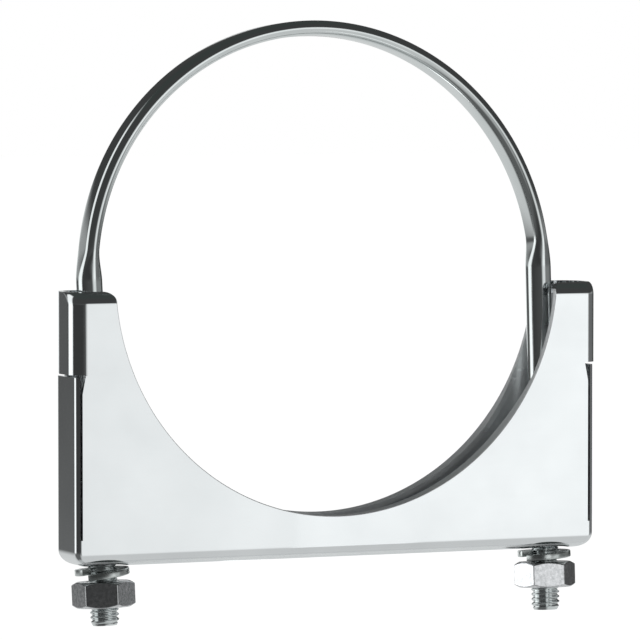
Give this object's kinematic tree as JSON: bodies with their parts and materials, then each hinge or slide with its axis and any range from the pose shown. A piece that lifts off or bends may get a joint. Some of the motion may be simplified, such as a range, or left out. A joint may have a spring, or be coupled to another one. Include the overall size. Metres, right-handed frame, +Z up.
{
  "type": "u-bolt pipe clamp",
  "caption": "Chrome U-bolt clamp for a large round pipe, with a flattened crown, a folded sheet saddle, split lock washers and hex nuts.",
  "frame": {"origin": "on the axis of the pipe that the clamp holds, midway between the saddle's front and back walls", "axes": "+X to the clamp's right, +Y along the pipe to the back, +Z up from the nuts to the top of the crown"},
  "size_m": [0.1842, 0.0254, 0.1924],
  "materials": {
    "chrome_band": "bright chrome plate on rolled steel rod",
    "chrome_sheet": "bright chrome plate on pressed sheet, with faint polishing lines",
    "plated_steel": "bright plated, cold formed",
    "washer_steel": "plated spring steel, satin"
  },
  "bodies": {
    "u_bolt": {"u_bolt": "chrome_band"},
    "saddle": {"saddle": "chrome_sheet"},
    "washer_left": {"lock_washer_left": "washer_steel"},
    "washer_right": {"lock_washer_right": "washer_steel"},
    "nut_left": {"hex_nut_left": "plated_steel"},
    "nut_right": {"hex_nut_right": "plated_steel"}
  },
  "joints": [
    {"name": "saddle_slide", "type": "slide", "parent": "u_bolt", "child": "saddle", "axis": [0.0113, -0.0576, -0.9983], "range_m": [0, 0.0057]},
    {"name": "nut_turn_left", "type": "hinge", "parent": "saddle", "child": "nut_left", "pos_m": [-0.07919, -0.00257, -0.09975], "axis": [0.0244, -0.0576, -0.998], "range_deg": [0, 1298]},
    {"name": "nut_turn_right", "type": "hinge", "parent": "saddle", "child": "nut_right", "pos_m": [0.07622, -0.00265, -0.09949], "axis": [-0.0018, -0.0576, -0.9983], "range_deg": [0, 1298]},
    {"name": "washer_spin_left", "type": "hinge", "parent": "saddle", "child": "washer_left", "pos_m": [-0.07919, -0.00257, -0.09975], "axis": [0.0244, -0.0576, -0.998], "continuous": true},
    {"name": "washer_spin_right", "type": "hinge", "parent": "saddle", "child": "washer_right", "pos_m": [0.07622, -0.00265, -0.09949], "axis": [-0.0018, -0.0576, -0.9983], "continuous": true}
  ],
  "couplings": [
    {"joint": "nut_turn_left", "follows": "saddle_slide", "rad_per_m": 3957.9},
    {"joint": "nut_turn_right", "follows": "saddle_slide", "rad_per_m": 3957.9}
  ]
}
